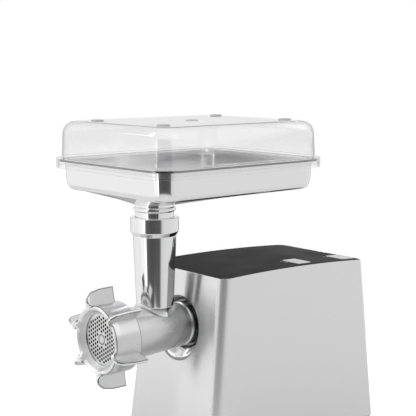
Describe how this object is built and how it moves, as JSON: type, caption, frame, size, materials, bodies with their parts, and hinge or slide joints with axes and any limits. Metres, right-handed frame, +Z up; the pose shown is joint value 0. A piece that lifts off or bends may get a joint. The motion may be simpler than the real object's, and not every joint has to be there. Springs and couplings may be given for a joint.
{
  "type": "electric meat grinder",
  "caption": "Steel-clad electric food grinder with a hopper tray under a clear lid, feed tube, auger barrel and winged screw ring.",
  "frame": {"origin": "middle of the footprint's bounding box, on the surface it stands on", "axes": "+Z up, front with the outlet ring towards -Y, the buttons' side towards +X"},
  "size_m": [0.1938, 0.3478, 0.3575],
  "materials": {
    "housing_steel": "fine brushed stainless sheet",
    "panel_black": "glossy black moulding",
    "strip_black": "glossy black moulding",
    "button_silver": "silver lacquered plastic",
    "spring_steel": "drawn spring wire",
    "switch_plastic": "matt black moulding",
    "board_green": "lacquered circuit board",
    "base_black": "matt black moulding",
    "rubber_black": "soft rubber",
    "screw_steel": "zinc plated",
    "dish_steel": "polished pressing",
    "frame_steel": "black powder coat",
    "gearbox_plastic": "glass filled moulding",
    "bush_bronze": "sintered bronze",
    "gear_steel": "sintered steel",
    "gear_nylon": "white nylon",
    "lamination_steel": "stacked laminations",
    "copper": "enamelled copper",
    "fan_plastic": "matt moulding",
    "bracket_metal": "die cast",
    "carbon": "pressed carbon",
    "head_aluminium": "satin casting, polished tube",
    "auger_aluminium": "satin casting",
    "knife_steel": "ground stainless",
    "plate_steel": "ground stainless",
    "ring_aluminium": "satin casting, turned face",
    "washer_nylon": "white nylon",
    "tray_steel": "polished stainless sheet",
    "lid_clear": "clear hard plastic"
  },
  "bodies": {
    "base": {"housing_shell": "housing_steel", "top_panel": "panel_black", "control_strip": "strip_black", "on_off_spring": "spring_steel", "reverse_spring": "spring_steel", "button_switches": "switch_plastic", "switch_board": "board_green", "base_plate": "base_black", "rubber_feet": "rubber_black", "base_screws": "screw_steel", "cord_gland": "rubber_black", "power_board": "board_green", "throat_dish": "dish_steel", "front_frame": "frame_steel", "gearbox_case": "gearbox_plastic", "gearbox_cover": "gearbox_plastic", "gearbox_screws": "screw_steel", "output_bush": "bush_bronze", "rear_output_bush": "bush_bronze", "second_axle": "screw_steel", "first_axle": "screw_steel", "front_motor_bearing": "screw_steel", "rear_motor_bearing": "screw_steel", "stator_core": "lamination_steel", "field_coils": "copper", "motor_front_bracket": "bracket_metal", "motor_rear_bracket": "bracket_metal", "motor_bolts": "screw_steel", "brush_holders": "bush_bronze", "carbon_brushes": "carbon"},
    "on_off_button": {"on_off_button": "button_silver"},
    "reverse_button": {"reverse_button": "button_silver"},
    "head": {"grinder_head": "head_aluminium", "head_bush": "bush_bronze", "hole_plate": "plate_steel", "plate_key": "screw_steel"},
    "ring": {"screw_ring": "ring_aluminium"},
    "drive_line": {"output_shaft": "gear_steel", "drive_socket": "gear_steel", "output_gear": "gear_steel", "auger": "auger_aluminium", "knife": "knife_steel", "thrust_washer": "washer_nylon"},
    "second_gear": {"second_gear": "gear_nylon"},
    "first_gear": {"first_gear": "gear_nylon"},
    "rotor": {"motor_shaft": "screw_steel", "motor_pinion": "gear_steel", "armature_core": "lamination_steel", "armature_windings": "copper", "commutator": "copper", "cooling_fan": "fan_plastic"},
    "tray": {"tray": "tray_steel", "tray_neck": "tray_steel"},
    "lid": {"lid": "lid_clear"}
  },
  "joints": [
    {"name": "on_off_press", "type": "slide", "parent": "base", "child": "on_off_button", "axis": [0, 0, -1], "range_m": [0, 0.002], "stiffness_N_per_m": 400, "springref_m": -0.001, "deforming": ["on_off_spring"]},
    {"name": "reverse_press", "type": "slide", "parent": "base", "child": "reverse_button", "axis": [0, 0, -1], "range_m": [0, 0.002], "stiffness_N_per_m": 400, "springref_m": -0.001, "deforming": ["reverse_spring"]},
    {"name": "motor_spin", "type": "hinge", "parent": "base", "child": "rotor", "pos_m": [0, 0.06512, 0.068], "axis": [0, -1, 0], "continuous": true},
    {"name": "first_spin", "type": "hinge", "parent": "base", "child": "first_gear", "pos_m": [0.0016, 0.00512, 0.10046], "axis": [0, -1, 0], "continuous": true},
    {"name": "second_spin", "type": "hinge", "parent": "base", "child": "second_gear", "pos_m": [-0.02864, -0.00488, 0.11236], "axis": [0, -1, 0], "continuous": true},
    {"name": "output_spin", "type": "hinge", "parent": "base", "child": "drive_line", "pos_m": [0, -0.01488, 0.141], "axis": [0, -1, 0], "continuous": true},
    {"name": "head_twist", "type": "hinge", "parent": "base", "child": "head", "pos_m": [0, -0.05488, 0.141], "axis": [0, -1, 0], "range_deg": [0, 30]},
    {"name": "ring_screw", "type": "hinge", "parent": "head", "child": "ring", "pos_m": [0, -0.15488, 0.141], "axis": [0, -1, 0], "range_deg": [0, 450]},
    {"name": "tray_lift", "type": "slide", "parent": "head", "child": "tray", "axis": [0, 0, 1], "range_m": [0, 0.06]},
    {"name": "lid_lift", "type": "slide", "parent": "tray", "child": "lid", "axis": [0, 0, 1], "range_m": [0, 0.08]}
  ],
  "couplings": [
    {"joint": "first_spin", "follows": "motor_spin", "ratio": -0.18182},
    {"joint": "second_spin", "follows": "motor_spin", "ratio": 0.054545},
    {"joint": "output_spin", "follows": "motor_spin", "ratio": -0.015584}
  ]
}
